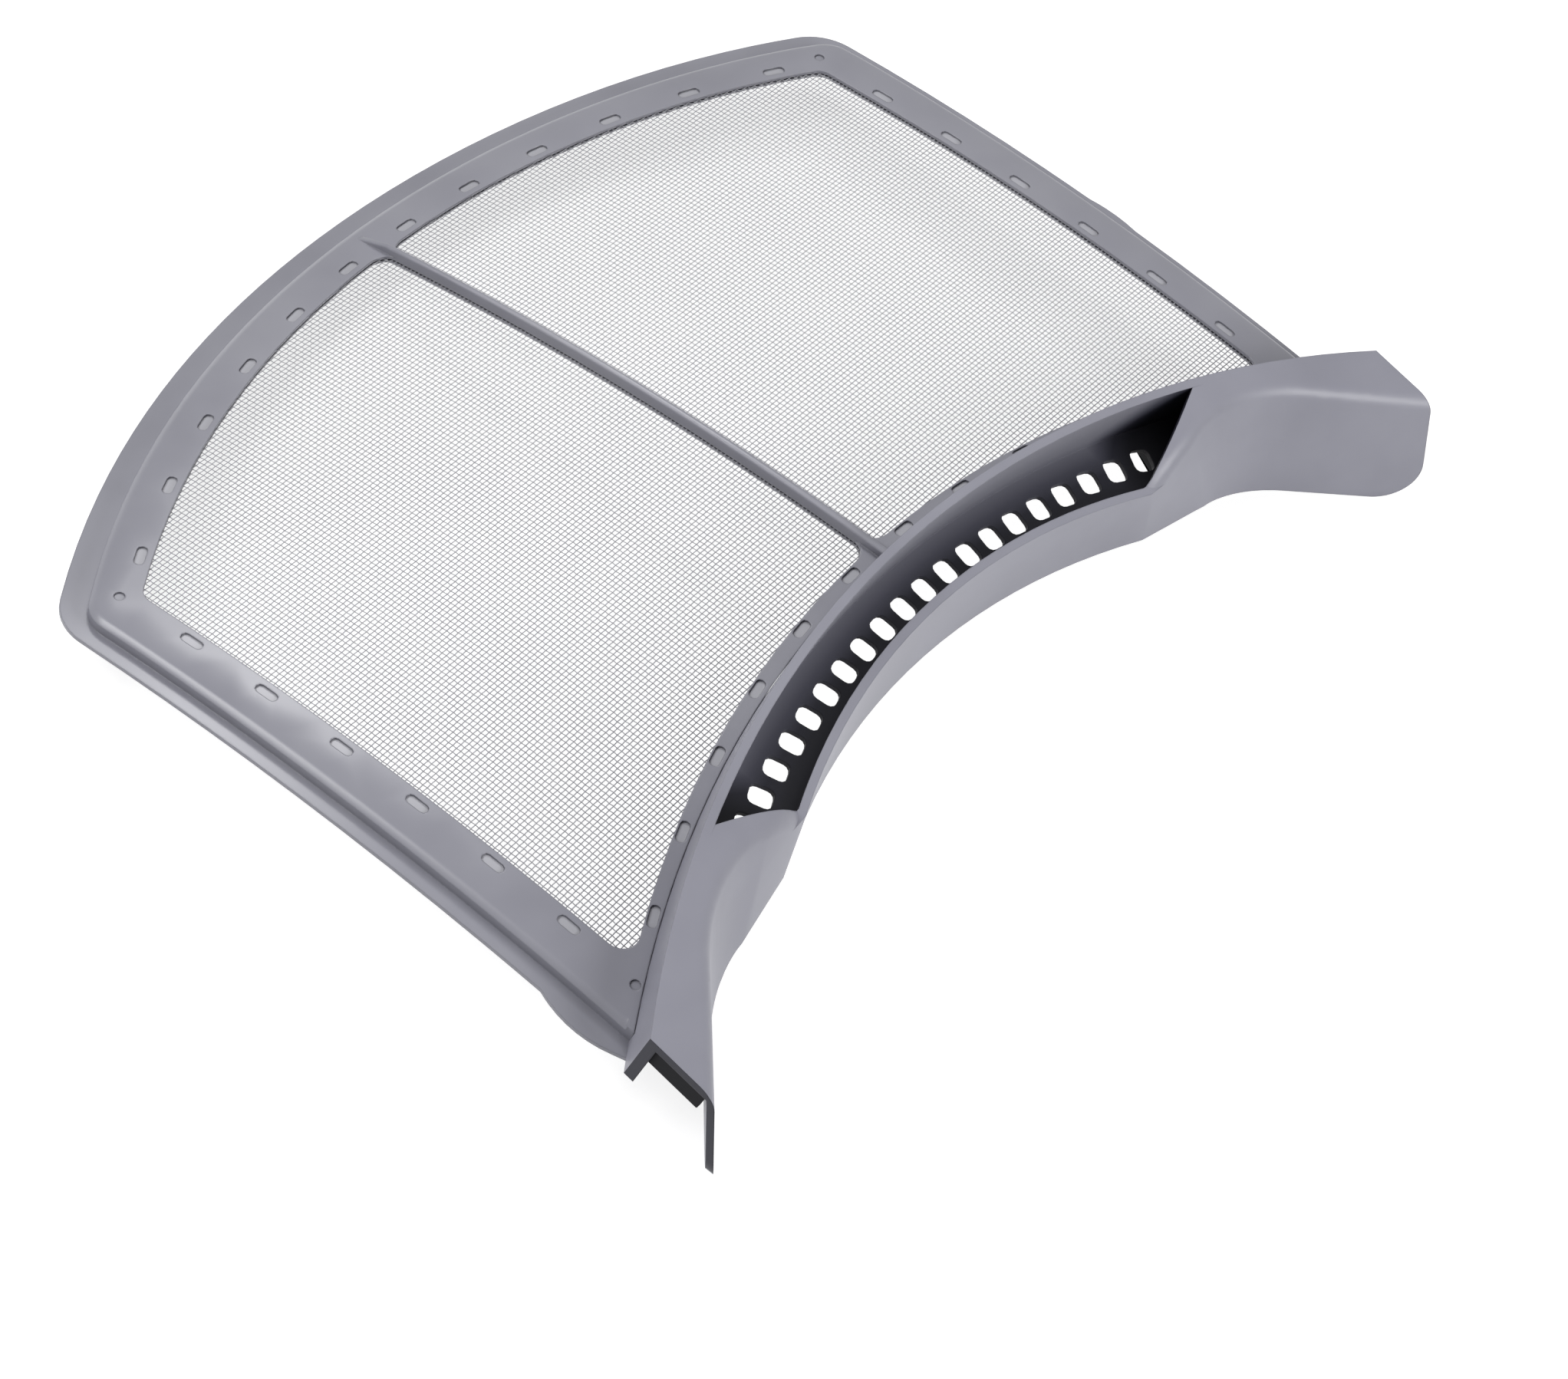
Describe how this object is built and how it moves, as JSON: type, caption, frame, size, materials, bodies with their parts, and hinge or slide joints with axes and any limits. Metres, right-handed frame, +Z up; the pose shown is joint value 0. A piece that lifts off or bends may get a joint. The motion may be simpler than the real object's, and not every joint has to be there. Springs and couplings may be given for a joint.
{
  "type": "tumble dryer lint filter",
  "caption": "Arched lint filter for a tumble dryer: a grey plastic frame holding fine white mesh, with a curved handle and finger trough.",
  "frame": {"origin": "middle of the part's outline on the floor, under the arched screen", "axes": "+X across the filter, along the handle; +Y from the handle to the far edge of the screen; +Z up, out of the screen's arched side"},
  "size_m": [0.345, 0.2736, 0.0457],
  "materials": {
    "frame_plastic": "satin moulded grey",
    "handle_plastic": "satin moulded grey",
    "mesh_cloth": "fine white plastic thread"
  },
  "bodies": {
    "root": {"screen_frame": "frame_plastic", "filter_mesh": "mesh_cloth", "handle": "handle_plastic"}
  },
  "joints": []
}
